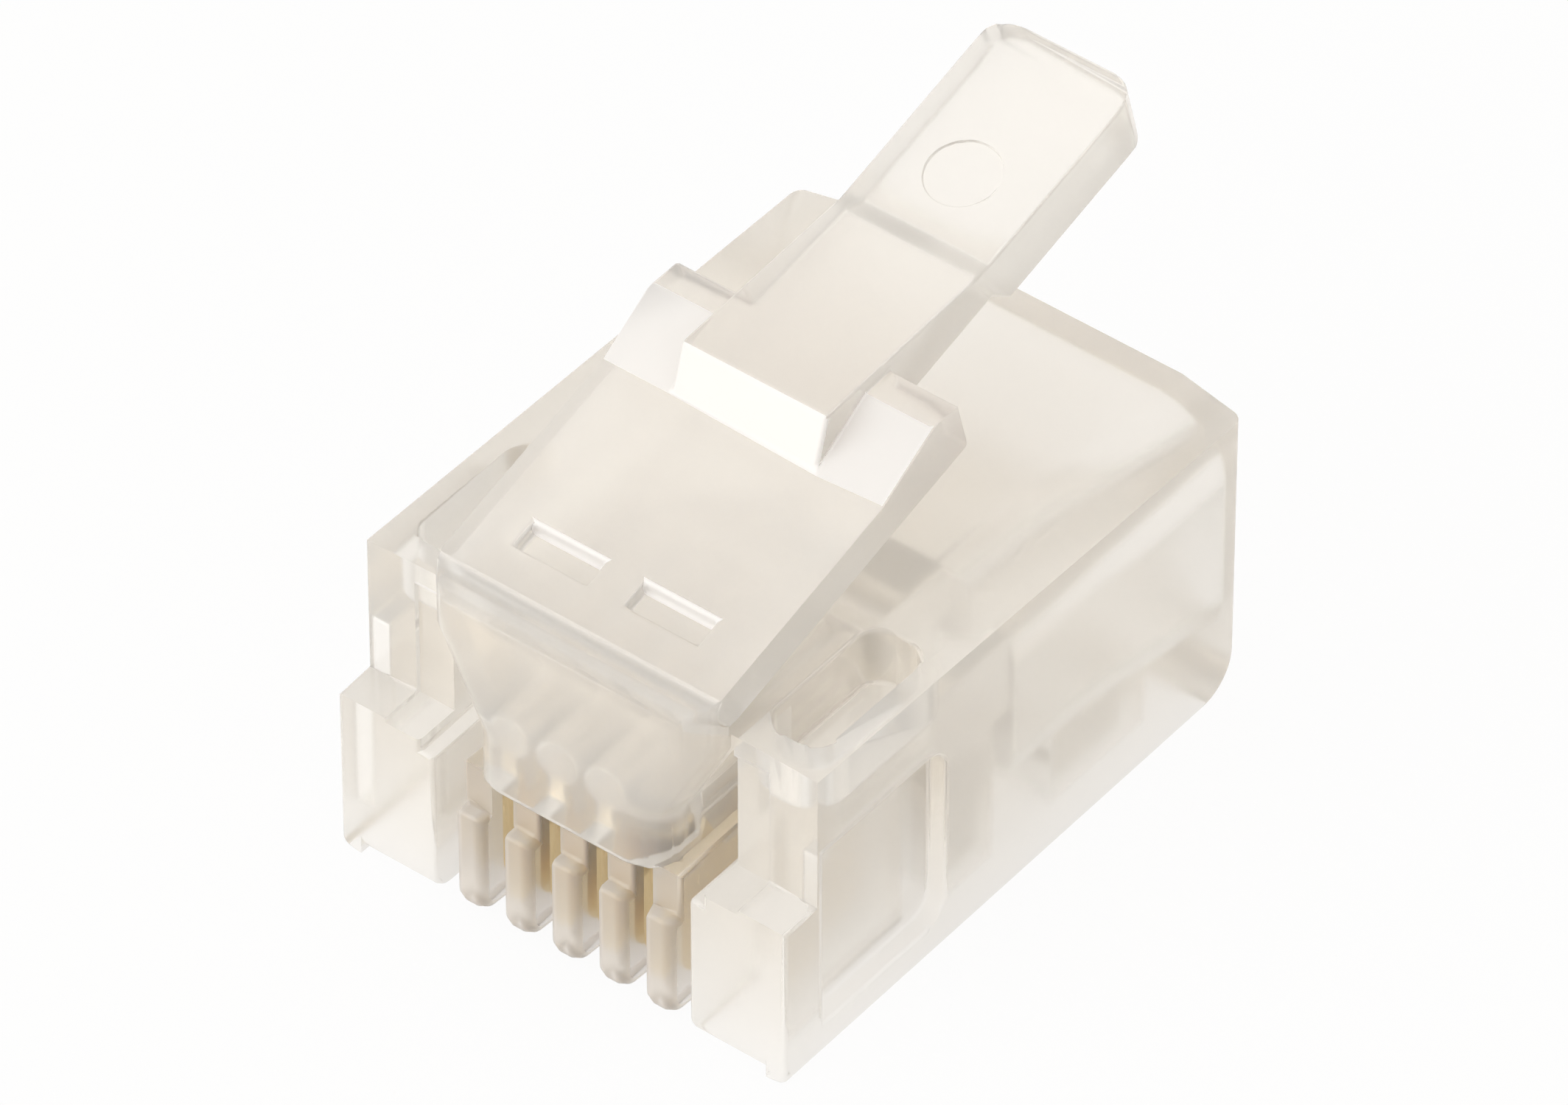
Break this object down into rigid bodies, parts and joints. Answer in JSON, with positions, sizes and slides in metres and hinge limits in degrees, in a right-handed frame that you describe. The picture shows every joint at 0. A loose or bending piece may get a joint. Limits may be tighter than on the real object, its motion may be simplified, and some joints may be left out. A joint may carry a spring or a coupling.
{
  "type": "modular plug",
  "caption": "Clear modular telephone plug with gold contact blades in a front comb, a sprung latch lever on top and an open cable entry at the rear.",
  "frame": {"origin": "where the front plane of the comb, the contact side and the middle plane meet", "axes": "+X across the contact row, +Y from the mating front to the cable end, +Z from the contact side to the latch"},
  "size_m": [0.0096, 0.0143, 0.011],
  "materials": {
    "clear_polycarbonate": "polished clear moulding",
    "gold_plated_contact": "gold plated, punched edges"
  },
  "bodies": {
    "housing": {"housing": "clear_polycarbonate", "contact_2": "gold_plated_contact", "contact_3": "gold_plated_contact", "contact_4": "gold_plated_contact", "contact_5": "gold_plated_contact"},
    "latch": {"latch_lever": "clear_polycarbonate"}
  },
  "joints": [
    {"name": "latch_hinge", "type": "hinge", "parent": "housing", "child": "latch", "pos_m": [0, 0.00095, 0.00713], "axis": [-1, 0, 0], "range_deg": [0, 12], "stiffness_Nm_per_rad": 0.05}
  ]
}
